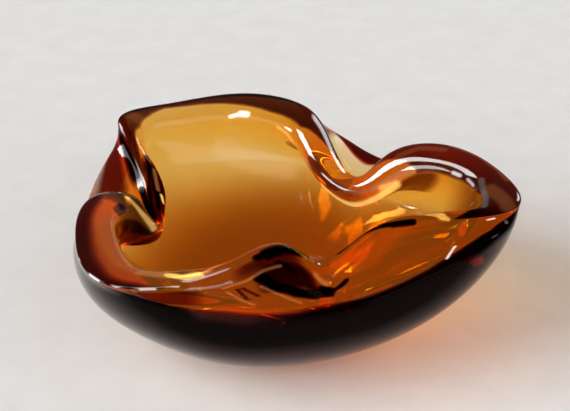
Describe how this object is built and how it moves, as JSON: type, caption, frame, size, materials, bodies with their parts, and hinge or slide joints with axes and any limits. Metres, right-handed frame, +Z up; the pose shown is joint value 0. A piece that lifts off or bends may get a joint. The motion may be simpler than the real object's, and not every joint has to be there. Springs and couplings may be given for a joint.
{
  "type": "art glass bowl",
  "caption": "Heavy free-form amber art glass bowl with lobed, folded rim and flat ground foot, for sweets, keys or display.",
  "frame": {"origin": "centre of the flat ground foot, on the plane the bowl stands on", "axes": "+Z up out of the mouth; +X towards the pointed right lobe; +Y towards the back lobe, so the wide front fold faces -Y"},
  "size_m": [0.1681, 0.1645, 0.0616],
  "materials": {
    "casing_glass": "fire-polished, dark brown-amber, transparent where thin",
    "lining_glass": "fire-polished, honey amber, transparent"
  },
  "bodies": {
    "root": {"outer_casing": "casing_glass", "inner_lining": "lining_glass"}
  },
  "joints": []
}
